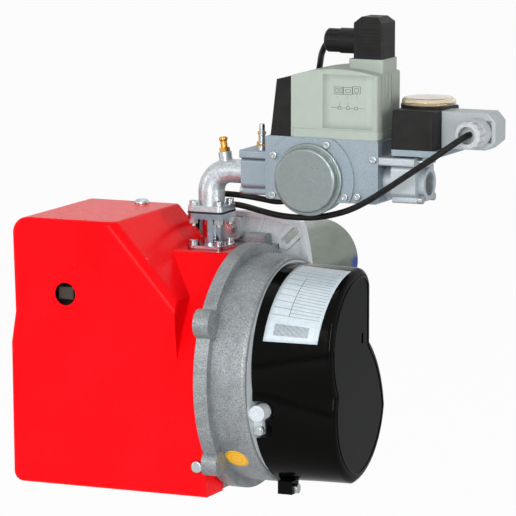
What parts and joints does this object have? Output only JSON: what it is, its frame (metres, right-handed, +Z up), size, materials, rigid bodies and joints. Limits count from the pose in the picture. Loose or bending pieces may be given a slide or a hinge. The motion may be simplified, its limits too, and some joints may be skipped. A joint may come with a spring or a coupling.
{
  "type": "industrial gas burner",
  "caption": "Monobloc forced-draught gas burner: red cover, cast fan housing, black motor shroud, blast tube and flange, with a gas valve train on a riser and elbow.",
  "frame": {"origin": "axis of the blast tube, at the boiler side of the mounting flange", "axes": "+Y along the blast tube into the boiler, +X towards the motor, +Z up"},
  "size_m": [0.5015, 0.4382, 0.4985],
  "materials": {
    "cast_alu": "as-cast, matt and slightly speckled",
    "flange_alu": "die-cast, satin",
    "red_cover": "glossy red powder coat",
    "black_gloss": "glossy black moulding",
    "zinc_steel": "zinc plated",
    "galvanised": "bright steel sheet, slightly heat tinted",
    "chrome": "polished chrome",
    "dark_steel": "bare machined steel",
    "electric_steel": "laminated core",
    "copper_enamel": "enamelled copper winding",
    "ceramic": "glazed ceramic",
    "grey_green": "light grey-green moulding",
    "light_grey": "light grey moulding",
    "black_matt": "fine textured black moulding",
    "black_cable": "smooth cable sheath",
    "gasket_black": "flat sheet gasket",
    "brass": "turned brass",
    "clear_lid": "clear moulded lid",
    "dial_beige": "beige setting dial",
    "amber_button": "translucent reset button"
  },
  "bodies": {
    "burner": {"fan_housing": "cast_alu", "mounting_flange": "flange_alu", "flange_clamp_bolt": "zinc_steel", "blast_tube": "galvanised", "diffuser_disc": "galvanised", "gas_head": "dark_steel", "electrode_holder": "galvanised", "electrode_ceramics": "ceramic", "electrode_wires": "dark_steel", "scroll_liner": "galvanised", "inlet_cone": "galvanised", "motor_plate": "cast_alu", "motor_bearings": "dark_steel", "motor_core": "electric_steel", "motor_windings": "copper_enamel", "motor_bell": "cast_alu", "motor_capacitor": "light_grey", "motor_shroud": "black_gloss", "shroud_screws": "zinc_steel", "front_cover": "red_cover", "cover_screws": "zinc_steel", "back_plate": "galvanised", "intake_box": "galvanised", "control_box": "black_matt", "control_base": "black_matt", "ignition_transformer": "black_matt", "air_pressure_switch": "light_grey", "head_cover": "cast_alu", "cable_grommets": "gasket_black", "gas_manifold": "cast_alu", "gas_riser": "chrome", "riser_gasket": "gasket_black", "riser_bolts": "zinc_steel", "riser_nuts": "zinc_steel", "elbow": "cast_alu", "test_nipples": "brass", "valve_body": "cast_alu", "diaphragm_cover": "cast_alu", "valve_screws": "zinc_steel", "solenoid_cover": "grey_green", "solenoid_end_cap": "black_matt", "valve_plug": "black_matt", "outlet_flange": "cast_alu", "port_bolts": "zinc_steel", "vent_cap": "black_matt", "inlet_flange": "cast_alu", "switch_base": "cast_alu", "switch_box": "black_matt", "switch_lid": "clear_lid", "switch_plug": "light_grey", "cable_glands": "black_matt", "switch_lead": "black_cable", "valve_lead": "black_cable"},
    "rotor_body": {"fan_wheel": "galvanised", "wheel_screw": "zinc_steel", "rotor": "dark_steel"},
    "button_body": {"reset_button": "amber_button"},
    "damper_body": {"air_damper": "galvanised"},
    "dial_body": {"switch_dial": "dial_beige"},
    "air_dial_body": {"air_switch_dial": "dial_beige"}
  },
  "joints": [
    {"name": "fan_spin", "type": "hinge", "parent": "burner", "child": "rotor_body", "pos_m": [0.1, -0.098, -0.068], "axis": [1, 0, 0], "continuous": true},
    {"name": "reset_press", "type": "slide", "parent": "burner", "child": "button_body", "axis": [0, 1, 0], "range_m": [0, 0.003], "stiffness_N_per_m": 300},
    {"name": "damper_turn", "type": "hinge", "parent": "burner", "child": "damper_body", "pos_m": [0.005, -0.1, -0.158], "axis": [0, 1, 0], "range_deg": [0, 90]},
    {"name": "gas_dial_turn", "type": "hinge", "parent": "burner", "child": "dial_body", "pos_m": [0.237, -0.066, 0.21], "axis": [0, 0, 1], "range_deg": [0, 270]},
    {"name": "air_dial_turn", "type": "hinge", "parent": "burner", "child": "air_dial_body", "pos_m": [-0.062, -0.102, -0.11], "axis": [0, 1, 0], "range_deg": [0, 270]}
  ]
}
